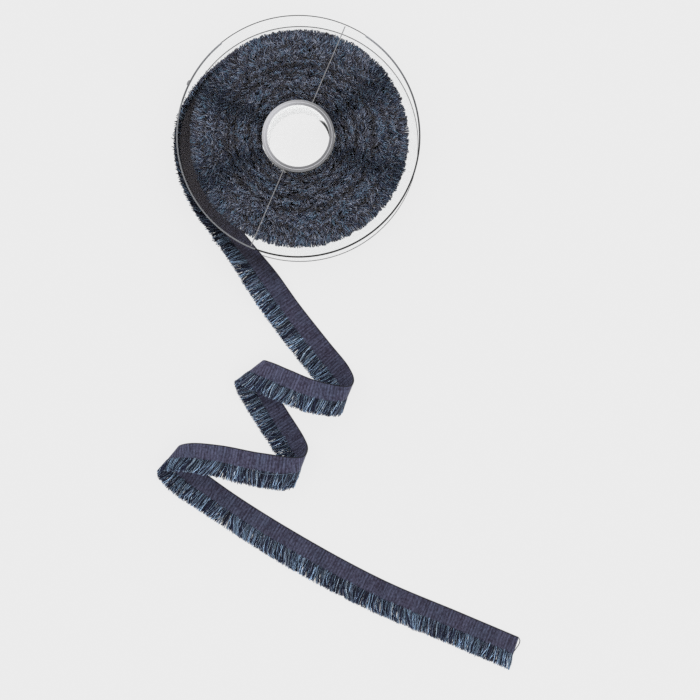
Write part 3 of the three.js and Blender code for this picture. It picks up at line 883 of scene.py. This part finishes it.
class FRINGE_OT_reel(bpy.types.Operator):
    """Turn the two halves of the clear reel, with the moulded line and the nib on the front half"""

    bl_idname = "fringe.reel"
    bl_label = "Clear Reel"

    def execute(self, context):
        settings = context.scene.fringe_trim
        reel = settings.reel
        back_greys, front_greys, line = self.greys(reel, settings.colours)
        back = self.turn("reel_back_half", self.back_profile(reel), reel, BACK_RIM_WIDTH, back_greys)
        front = self.turn("reel_front_half", self.front_profile(reel), reel, FRONT_RIM_WIDTH, front_greys)
        self.light_rim(front, reel)
        self.join(front, [*self.moulded_line(reel, line), self.gate_nib(reel, line)])
        seat_piece(back, "clear_plastic", "reel_back")
        seat_piece(front, "clear_plastic", "reel_front")
        return {"FINISHED"}

    def greys(self, reel, colours):
        """Materials of the back half and of the front half in order, and of the line and the nib."""
        clear = clear_plastic_material(colours)
        wide = (-reel.disc_radius, reel.disc_radius)
        far = (0.0, 1.0, 0.0)
        back_rim, front_rim, lit_rim = (
            clear_edge_material(f"clear_{name}_rim", colours.clear_edge, far, wide, RIM_CLEARNESS)
            for name in ("back", "front", "lit")
        )
        line = clear_edge_material("clear_line", colours.clear_line, far, wide)
        away = (math.cos(TUBE_SHADE), math.sin(TUBE_SHADE), 0.0)
        hub = reel.back_tube[1]
        tube = clear_edge_material("clear_tube", colours.clear_tube, away, (-hub, 0.2 * hub))
        seam = clear_edge_material("clear_seam", colours.clear_tube, away, (-hub, hub))
        bore = clear_edge_material("clear_bore", colours.clear, BORE_SHADE, BORE_SHADE_REACH, gloss=1.0)
        front_greys = (clear, front_rim, tube, bore, lit_rim, back_rim, seam)
        return (clear, back_rim, tube), front_greys, line

    def back_profile(self, reel):
        """Radius and height round the section of the half on the table."""
        inner, outer = reel.back_tube
        tube_top = reel.height - reel.disc_thickness - reel.tube_gap
        return [
            (inner, 0.0),
            (reel.disc_radius, 0.0),
            (reel.disc_radius, reel.disc_thickness),
            (outer, reel.disc_thickness),
            (outer, tube_top),
            (inner, tube_top),
        ]

    def front_profile(self, reel):
        """Radius and height round the section of the half on top, with points where its greys change."""
        inner, outer = reel.front_tube
        under = reel.height - reel.disc_thickness
        return [
            (inner, reel.table_gap),
            (outer, reel.table_gap),
            (outer, under),
            (reel.disc_radius, under),
            (reel.disc_radius, reel.height),
            (reel.back_tube[1], reel.height),
            (reel.back_tube[0], reel.height),
            (outer, reel.height),
            (inner, reel.height),
        ]

    def turn(self, name, profile, reel, rim_width, materials):
        """Extrudes a circle through a closed profile, rounds its edges and gives its faces materials."""
        profile = self.with_flat_sides(profile, FLAT_MARGIN)
        radius, height = profile[0]
        bpy.ops.mesh.primitive_circle_add(
            vertices=CIRCLE_STEPS,
            radius=radius,
            location=(AXIS[0], AXIS[1], height),
        )
        piece = bpy.context.object
        piece.name = name
        bpy.ops.object.mode_set(mode="EDIT")
        bpy.ops.mesh.select_all(action="SELECT")
        for next_radius, next_height in profile[1:] + profile[:1]:
            rise = (0.0, 0.0, next_height - height)
            bpy.ops.mesh.extrude_edges_move(TRANSFORM_OT_translate={"value": rise})
            growth = next_radius / radius
            bpy.ops.transform.resize(
                value=(growth, growth, 1.0),
                center_override=(AXIS[0], AXIS[1], next_height),
            )
            radius, height = next_radius, next_height
        bpy.ops.mesh.select_all(action="SELECT")
        bpy.ops.mesh.remove_doubles(threshold=1e-6)
        bpy.ops.mesh.normals_make_consistent(inside=False)
        bpy.ops.object.mode_set(mode="OBJECT")
        settle_placing()
        self.round_edges(piece, reel.edge_rounding, segments=3)
        bpy.ops.object.shade_smooth_by_angle(angle=math.radians(40))
        for material in materials:
            piece.data.materials.append(material)
        for face in piece.data.polygons:
            out = math.hypot(face.center.x - AXIS[0], face.center.y - AXIS[1])
            if out > reel.disc_radius - rim_width:
                face.material_index = RIM
            elif out < reel.back_tube[1] + reel.edge_rounding and face.normal.z > 0.5:
                face.material_index = TUBE
            elif out < reel.front_tube[0] + reel.edge_rounding:
                face.material_index = BORE
        return piece

    def with_flat_sides(self, profile, margin):
        """The profile with points near its corners, so that long sides stay flat beside rounded edges."""
        points = []
        for here, there in zip(profile, profile[1:] + profile[:1]):
            side = np.subtract(there, here)
            share = margin / np.hypot(*side)
            points.append(tuple(here))
            if share < 0.4:
                points += [tuple(here + share * side), tuple(here + (1 - share) * side)]
        return points

    def round_edges(self, piece, width, segments):
        rounding = piece.modifiers.new("rounded_edges", "BEVEL")
        rounding.width = width
        rounding.segments = segments
        rounding.limit_method = "ANGLE"
        bpy.ops.object.modifier_apply(modifier=rounding.name)

    def light_rim(self, front, reel):
        """Lights the rim where it crosses the trim, thins it at the far side and marks the hub's seam."""
        for face in front.data.polygons:
            side = np.array(face.center[:2]) - AXIS[:2]
            out = np.hypot(*side)
            degrees = math.degrees(math.atan2(side[1], side[0])) % 360
            if face.material_index == TUBE and reel.front_tube[1] < out < reel.back_tube[0]:
                face.material_index = SEAM
            elif face.material_index == RIM and LIT_DEGREES[0] < degrees < LIT_DEGREES[1]:
                face.material_index = LIT_RIM
            elif face.material_index == RIM and THIN_DEGREES[0] < degrees < THIN_DEGREES[1]:
                face.material_index = THIN_RIM if out > reel.disc_radius - THIN_RIM_WIDTH else CLEAR

    def moulded_line(self, reel, material):
        """The fine line across the front disc, in two parts from the hub to the rim."""
        start, end = reel.back_tube[1], reel.disc_radius - LINE_END_GAP
        parts = []
        for turn in (reel.line_angle, reel.line_angle + math.pi):
            bpy.ops.mesh.primitive_cube_add(
                size=1.0,
                location=polar((start + end) / 2, turn, reel.height + reel.line_height / 2),
                rotation=(0.0, 0.0, turn),
                scale=(end - start, reel.line_width, reel.line_height),
            )
            line = bpy.context.object
            settle_placing()
            self.round_edges(line, reel.line_height / 3, segments=2)
            line.data.materials.append(material)
            parts.append(line)
        return parts

    def gate_nib(self, reel, material):
        """The small nib that the mould's inlet leaves on the front rim."""
        half_thick = reel.disc_thickness / 2
        bpy.ops.mesh.primitive_uv_sphere_add(
            segments=24,
            ring_count=12,
            radius=1.0,
            location=polar(reel.disc_radius + NIB_OUT, NIB_ANGLE, reel.height - half_thick),
            rotation=(0.0, 0.0, NIB_ANGLE),
            scale=(NIB_DEEP, NIB_LONG, half_thick),
        )
        nib = bpy.context.object
        settle_placing()
        bpy.ops.object.shade_smooth()
        nib.data.materials.append(material)
        return nib

    def join(self, front, parts):
        bpy.ops.object.select_all(action="DESELECT")
        for each in (*parts, front):
            each.select_set(True)
        bpy.context.view_layer.objects.active = front
        bpy.ops.object.join()


class FRINGE_OT_wound_trim(bpy.types.Operator):
    """Wind the heading on the hub turn by turn and set its cut yarns on the upper side"""

    bl_idname = "fringe.wound_trim"
    bl_label = "Wound Trim"

    def execute(self, context):
        settings = context.scene.fringe_trim
        trim, colours = settings.trim, settings.colours
        turns = wound_turns(trim)
        # Painted light and shade of the wound heading inside the reel, weaker than on the loose end
        shaded = np.full_like(turns.length, 0.4)
        weave = shared_material("ribbed_weave", woven_heading_material, colours, trim)
        heading = woven_band(
            "wound_heading", turns.selvedge, turns.edge, turns.normal, turns.length,
            turns.ribbed, shaded, trim, weave,
        )
        seat_piece(heading, "wound_fringe", "roll")
        fringe = self.set_yarns(turns, trim, colours)
        return {"FINISHED"}

    def set_yarns(self, turns, trim, colours):
        """The wound yarns in four pieces from the hub outwards, those of the last turns with a ring more."""
        random = np.random.default_rng(21)
        count = trim.wound_yarns
        inner_rings = np.array([0.0, 0.74, 1.0])
        outer_rings = np.array([0.0, 0.55, 0.8, 1.0])
        spacing = turns.length[-1] / count
        at = (np.arange(count) + random.uniform(0.1, 0.9, count)) * spacing
        table = np.stack([turns.angle, turns.turn_radius, turns.radius, turns.height], axis=-1)
        angle, turn_radius, radius, height = sampled(at, turns.length, table).T
        last_turn = trim.turn_pitch * ((turns.angle[-1] - angle) % FULL_TURN) / FULL_TURN
        depth = turns.turn_radius[-1] - last_turn - turn_radius
        radius = radius + random.uniform(-0.35, 0.35, count) * MM
        feet = np.stack([angle, turn_radius, radius, height, depth])
        yarn = shared_material("wound_yarn", yarn_material, "wound_yarn")
        pieces = []
        for part, rows in enumerate(np.array_split(np.arange(count), 4), start=1):
            share = outer_rings if part == 4 else inner_rings
            lines = self.yarn_lines(random, trim, feet[:, rows], share)
            thickness = 1.5 * trim.yarn_radius * random.uniform(0.8, 1.2, (len(rows), 1))
            tints = self.yarn_tints(random, colours, lines[:, -2:].mean(axis=1) - AXIS, depth[rows])
            shades = tints[:, None] * self.lit_share(depth[rows], share)[..., None]
            tapered = thickness * (1 - 0.15 * share**4)
            piece = yarn_mesh(f"wound_fringe_{part}", lines, tapered, shades, random, yarn)
            pieces.append(seat_piece(piece, "wound_fringe", "roll"))
        return pieces

    def lit_share(self, depth, share):
        """Painted light and shade along a yarn: lightest at its tip, or at its bend over the edge, and
        darker lower down.
        """
        upright = 0.7 + 0.5 * share**3
        bent = 0.55 + 0.8 * np.sin(math.pi * share**1.3)
        bending = bell(np.maximum(depth, 0), 2.5 * MM)[:, None]
        return upright + bending * (bent - upright)

    def yarn_lines(self, random, trim, feet, share):
        """Middle lines of the yarns: upright at the hub, leaning out more and more towards the rim."""
        angle, _, radius, height, depth = feet
        count = len(angle)
        length = (trim.trim_width - trim.heading_width) * random.normal(0.98, 0.035, count)
        depth = np.maximum(depth, 0)
        loose = 0.15 + 0.85 * eased(depth / (8 * MM))
        places = polar(radius, angle, 0.0) - AXIS
        away = np.stack([np.cos(angle), np.sin(angle), np.zeros(count)], axis=-1)
        round_about = np.stack([-np.sin(angle), np.cos(angle), np.zeros(count)], axis=-1)
        splay = self.splay(trim, places, away, feet)
        tuft = 1.8 * MM
        fine_tuft = 0.7 * MM
        comb_pitch = 6.6 * MM
        comb_drift = 4 * MM
        tufts = patches(32, places, tuft) * loose + 0.4 * patches(36, places, fine_tuft)
        outward = splay + (tufts + 0.6 * loose * random.normal(size=count)) * MM
        combing = FULL_TURN * radius / comb_pitch + 1.8 * patches(31, places, comb_drift)
        sideways = 3.4 * np.sin(combing) + 1.2 * patches(33, places, tuft)
        sideways = (sideways + 0.6 * random.normal(size=count)) * (0.4 + 0.6 * loose) * MM
        reach = np.hypot(outward, sideways)
        shrink = np.minimum(1, 0.85 * length / np.maximum(reach, 1e-6))
        outward, sideways = outward * shrink, sideways * shrink
        highest = 25.9
        rooted = 0.6 * MM
        ceiling = (highest - 1.6 * random.random(count)) * MM
        rise = np.minimum(np.sqrt(length**2 - outward**2 - sideways**2), ceiling - height)
        foot = polar(radius, angle, height - rooted)
        lines = foot[:, None] + outward[:, None, None] * (share**1.9)[:, None] * away[:, None]
        lines = lines + sideways[:, None, None] * (share**2.6)[:, None] * round_about[:, None]
        lines[:, :, 2] += rise[:, None] * share**0.65
        free = 1.25 * loose - 0.25
        hook = np.sign(sideways) * random.uniform(0.4, 2.2, count) * free * MM
        lines[:, -1] += hook[:, None] * round_about
        lines[:, -1, :2] += random.normal(0, 0.45 * MM, (count, 2)) * free[:, None]
        if len(share) > 3:
            lines[:, -2, :2] += random.normal(0, 0.5 * MM, (count, 2))
        aside = lines[:, :, :2] - AXIS[:2]
        out = np.linalg.norm(aside, axis=2, keepdims=True)
        lines[:, :, :2] = AXIS[:2] + aside * np.maximum(trim.first_turn / out, 1)
        return lines

    def splay(self, trim, places, away, feet):
        """How far the yarns lean out: to the tips' ring at the last turn, and less and less inwards."""
        angle, turn_radius, radius, _, depth = feet
        depth = np.maximum(depth, 0)
        crowd = 3 * MM
        brushed = bell(angle % FULL_TURN - BRUSHED_ANGLE, BRUSHED_REACH)
        ragged = (BRUSHED_OUT + 1.3 * patches(37, places, 1.2 * MM)) * brushed
        tip_radius = (TIP_RADIUS + away[:, :2] @ TIP_OFFSET + ragged) * MM
        filled = (turn_radius - trim.first_turn) / (turn_radius + depth - trim.first_turn + 0.1 * MM)
        filled = np.maximum(filled, 0)
        crowding = crowd * depth / (depth + crowd) * filled**3
        return turn_radius + (tip_radius - turn_radius - depth) * filled**1.5 + crowding - radius

    def yarn_tints(self, random, colours, ends, depth):
        """Charcoal and slate yarns with blue patches, navy rays, and brown rings with painted shade where
        turns part.
        """
        count = len(ends)
        angle = np.arctan2(ends[:, 1], ends[:, 0])
        radius = np.hypot(ends[:, 0], ends[:, 1]) / MM
        ray_width = math.radians(10)
        ring_width = 1.7
        ray = np.zeros(count)
        for degrees in NAVY_RAYS:
            apart = np.abs((angle - math.radians(degrees) + math.pi) % FULL_TURN - math.pi)
            ray = np.maximum(ray, bell(apart, ray_width))
        wavering = radius + 0.7 * patches(34, ends, 4 * MM)
        quarters = (angle / (FULL_TURN / 4)) % 4
        ring = np.zeros(count)
        for strength, middles in PARTED_TURNS:
            middle = np.interp(quarters, np.arange(5), [*middles, middles[0]])
            ring = np.maximum(ring, strength * bell(wavering - middle, ring_width))
        ring = ring * (1 - 0.7 * ray)
        blue = eased(0.38 + 0.4 * patches(35, ends, 3 * MM)) * (1 - ring)
        shares = PLAIN_SHARES + blue[:, None] * (BLUE_SHARES - PLAIN_SHARES)
        shares = shares + ray[:, None] * (NAVY_SHARES - shares)
        shares = shares + ring[:, None] * (BROWN_SHARES - shares)
        tints = picked_tints(random, count, [getattr(colours, name) for name in WOUND_DYES], shares)
        rim = bell(np.maximum(depth, 0), 13 * MM)
        # Painted shade darkens the rings where turns part; the rays are darker and the yarns lighter towards
        # the rim
        return tints * ((1.13 - 0.45 * ring - 0.5 * ray) * (1 + 0.22 * rim))[:, None]


class FRINGE_OT_loose_heading(bpy.types.Operator):
    """Lay the woven heading of the loose end from the reel to its cut end"""

    bl_idname = "fringe.loose_heading"
    bl_label = "Loose Heading"

    def execute(self, context):
        settings = context.scene.fringe_trim
        trim = settings.trim
        strip = loose_strip(trim)
        lengths = np.arange(0, strip.length[-1], trim.rib_pitch / RIB_STEPS)
        selvedge = strip_points(strip, lengths, np.zeros_like(lengths))
        edge = strip_points(strip, lengths, np.full_like(lengths, strip.root_share))
        normal = unit(sampled(lengths, strip.length, strip.heading_normal))
        weave = shared_material("ribbed_weave", woven_heading_material, settings.colours, trim)
        heading = woven_band(
            "loose_heading", selvedge, edge, normal, lengths,
            np.ones_like(lengths), shaded_share(strip, lengths), trim, weave,
        )
        seat_piece(heading, "woven_heading", "tail_heading")
        return {"FINISHED"}


class FRINGE_OT_loose_fringe(bpy.types.Operator):
    """Hang the cut yarns on the loose heading, run by run between the folds"""

    bl_idname = "fringe.loose_fringe"
    bl_label = "Loose Fringe"

    def execute(self, context):
        settings = context.scene.fringe_trim
        trim, colours = settings.trim, settings.colours
        strip = loose_strip(trim)
        yarn = shared_material("loose_yarn", yarn_material, "loose_yarn")
        bare_end = 0.8 * MM
        for number, (name, start_row, end_row, upper, solids) in enumerate(LOOSE_FRINGE):
            start = strip_length_at(strip, start_row)
            end = min(strip_length_at(strip, end_row), strip.length[-1] - bare_end)
            random = np.random.default_rng(40 + number)
            ribs = int(round((end - start) / trim.rib_pitch))
            sway = 1.7 * smooth_noise(random, ribs, 4)
            locks = 1.1 * smooth_noise(random, ribs, 1)
            layers = [self.loose_threads(name, trim, colours)]
            for face in (0, 1, -1):
                each_rib = {0: trim.core_yarns, upper: trim.face_yarns, -upper: trim.under_yarns}[face]
                count = ribs * each_rib
                place = (np.arange(count) + random.uniform(0.25, 0.75, count)) / each_rib
                rib = place.astype(int)
                root = start + place * (end - start) / ribs
                crossing = random.normal(0, 2.6, count) * (random.random(count) < 0.2)
                ruffle = sway[rib] + random.normal(0, 0.45, count)
                ruffle = ruffle if face == 0 else ruffle + locks[rib] + crossing
                lean = self.combed_lean(strip, root) + ruffle * (1 - 0.6 * shaded_share(strip, root))
                centres, radii = self.yarn_lines(random, strip, trim, root, lean, face)
                tints = self.yarn_tints(random, colours, centres.shape[:2], face)
                tints = self.faded(strip, root, tints, colours)
                layers.append((centres, radii, tints * reel_shadow(centres)[..., None]))
            centres, radii, tints = (np.concatenate(column) for column in zip(*layers))
            piece = yarn_mesh(name, centres, radii, tints, random, yarn)
            seat_piece(piece, "fringe_yarn", *(f"tail_fringe_{solid}" for solid in solids))
        return {"FINISHED"}

    def combed_lean(self, strip, root):
        leans = [TIP_LEANS.get(name, 0.0) for name in ROW_NAMES]
        return np.interp(root, strip.length[::ROW_STEPS], leans)

    def faded(self, strip, root, tints, colours):
        """The tints greyed where the loose end starts, as the yarns of the roll are."""
        grey = 2 * np.array(colours.charcoal)
        share = 0.85 * (1 - eased_between(root, (strip.length[0], strip_length_at(strip, "wrap_3"))))
        return tints + share[:, None, None] * (grey - tints)

    def loose_threads(self, name, trim, colours):
        """Middle lines, radii and tints of the threads that have worked loose on this piece."""
        centres = []
        tints = []
        for piece_name, tint, course in LOOSE_THREADS:
            if piece_name == name:
                line = spline_through(AXIS + MM * np.array(course), YARN_RINGS)
                lengths = run_lengths(line)
                centres.append(sampled(np.linspace(0, lengths[-1], YARN_RINGS), lengths, line))
                tints.append(np.tile(getattr(colours, tint), (YARN_RINGS, 1)))
        shape = (len(centres), YARN_RINGS, 3)
        return np.reshape(centres, shape), np.full(shape[:2], trim.thread_radius), np.reshape(tints, shape)

    def yarn_lines(self, random, strip, trim, root, lean, face):
        """Middle lines and radii of one layer of yarns: the dark core at face 0, or a face of the trim."""
        count = len(root)
        share = np.linspace(0, 1, YARN_RINGS)
        waviness, tip_reach, stoutness = (0.2, 0.975, 1.55) if face == 0 else (0.6, 1.0, 0.92)
        wave = random.normal(0, waviness, count)
        phase = random.uniform(0, FULL_TURN, count)
        beats = random.uniform(0.6, 1.4, count)
        swing = np.sin(FULL_TURN * beats[:, None] * share + phase[:, None]) - np.sin(phase)[:, None]
        along = root[:, None] + (lean[:, None] * share**1.6 + wave[:, None] * swing * share**0.7) * MM
        root_across = strip.root_share - random.uniform(-0.3, 1.7, count) * MM / trim.trim_width
        tip_across = random.normal(tip_reach, 0.013, count)
        tip_across -= 0.1 * random.random(count) * (random.random(count) < 0.12)
        across = root_across[:, None] + (tip_across - root_across)[:, None] * share
        centres = strip_points(strip, along, across)
        normal = unit(sampled(along, strip.length, strip.fringe_normal))
        if face == 0:
            layer = random.uniform(-0.25, 0.25, count)[:, None]
            layer = layer + random.normal(0, 0.15, count)[:, None] * share**2
        else:
            foot = 0.35
            raised = random.uniform(foot, 0.8, count)[:, None]
            curl = random.normal(0.1, 0.4, count)[:, None] * share**2
            layer = face * (foot + (raised - foot) * eased(5 * share) + curl)
        centres = centres + (layer * MM)[..., None] * normal
        thickness = trim.yarn_radius * stoutness * random.uniform(0.75, 1.25, (count, 1))
        radii = thickness * (1 - 0.3 * (1 - share) ** 4 - 0.25 * share**6)
        height = centres[..., 2]
        centres[..., 2] = np.where(height < radii, radii + 0.2 * np.abs(height - radii), height)
        return centres, radii

    def yarn_tints(self, random, colours, shape, face):
        """Light and dark yarns by turns on the faces over a dark core, each with painted glints along its
        length and painted shade towards its root.
        """
        count, rings = shape
        dark = picked_tints(random, count, [colours.deep_navy, colours.navy], [0.4, 0.6])
        light_dyes = [colours.steel_blue, colours.slate, colours.pale]
        light = picked_tints(random, count, light_dyes, [0.7, 0.22, 0.08])
        light = light * random.uniform(0.62, 2.0, (count, 1))
        turn = (np.arange(count) + (random.random(count) < 0.15)) % 2 == 0
        turn = turn & (random.random(count) > 0.14)
        tints = np.where((turn & (face != 0))[:, None], light, dark)
        share = np.linspace(0, 1, rings)
        # Painted glints along each yarn, and painted shade towards its root
        phase = random.uniform(0, FULL_TURN, count)[:, None]
        glint = 1 + 0.3 * np.cos(FULL_TURN * share * random.uniform(0.5, 1.5, (count, 1)) + phase)
        return tints[:, None] * (glint * (0.75 + 0.45 * share))[..., None]


class FRINGE_PT_trim(bpy.types.Panel):
    """Lists the steps that build the reel of fringe trim"""

    bl_idname = "FRINGE_PT_trim"
    bl_label = "Fringe Trim"
    bl_space_type = "VIEW_3D"
    bl_region_type = "UI"
    bl_category = "Fringe Trim"

    def draw(self, context):
        column = self.layout.column()
        for step in STEPS:
            column.operator(step.bl_idname)


SETTINGS = (ReelSettings, TrimSettings, YarnColours, StageSettings, FringeTrimSettings)
STEPS = (
    FRINGE_OT_stage,
    FRINGE_OT_reel,
    FRINGE_OT_wound_trim,
    FRINGE_OT_loose_heading,
    FRINGE_OT_loose_fringe,
)


def register():
    for each in (*SETTINGS, *STEPS, FRINGE_PT_trim):
        bpy.utils.register_class(each)
    bpy.types.Scene.fringe_trim = PointerProperty(type=FringeTrimSettings)


def unregister():
    del bpy.types.Scene.fringe_trim
    for each in reversed((*SETTINGS, *STEPS, FRINGE_PT_trim)):
        bpy.utils.unregister_class(each)


def main():
    register()
    bpy.ops.object.select_all(action="DESELECT")
    bpy.ops.fringe.stage()
    bpy.ops.fringe.reel()
    bpy.ops.fringe.wound_trim()
    bpy.ops.fringe.loose_heading()
    bpy.ops.fringe.loose_fringe()


if __name__ == "__main__":
    main()
